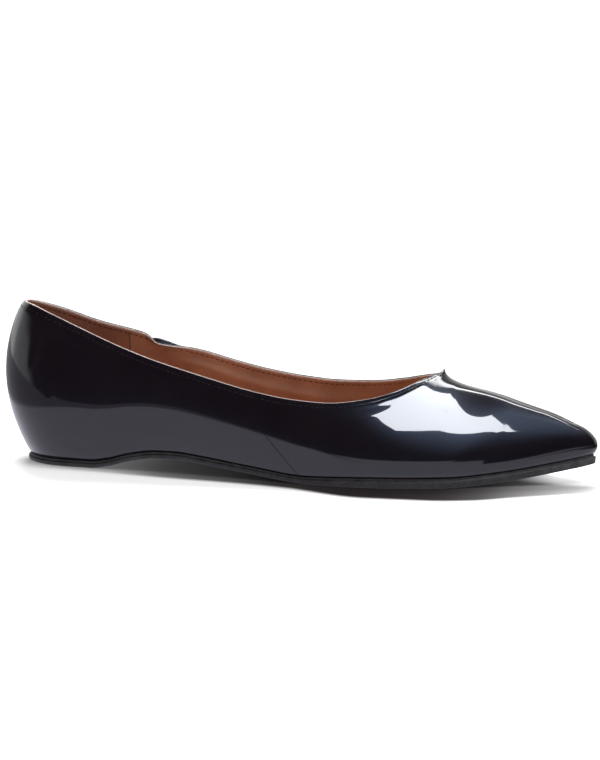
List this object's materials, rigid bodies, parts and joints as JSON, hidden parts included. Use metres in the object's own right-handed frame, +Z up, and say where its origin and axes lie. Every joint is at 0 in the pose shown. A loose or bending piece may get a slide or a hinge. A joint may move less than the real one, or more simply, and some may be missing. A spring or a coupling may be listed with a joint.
{
  "type": "pointed toe flat shoe",
  "caption": "Black patent pointed toe flat for the right foot, with a low topline, brown lining, hidden heel wedge and thin rubber sole.",
  "frame": {"origin": "middle of the shoe's box, on the floor under the sole", "axes": "+X from the heel to the toe, -Y towards the outer side of the foot, +Z up"},
  "size_m": [0.2614, 0.077, 0.0709],
  "materials": {
    "patent": "gloss",
    "lining": "matte",
    "sole": "matte",
    "thread": "matte"
  },
  "bodies": {
    "root": {"outsole": "sole", "upper": "patent", "insole": "lining"}
  },
  "joints": []
}
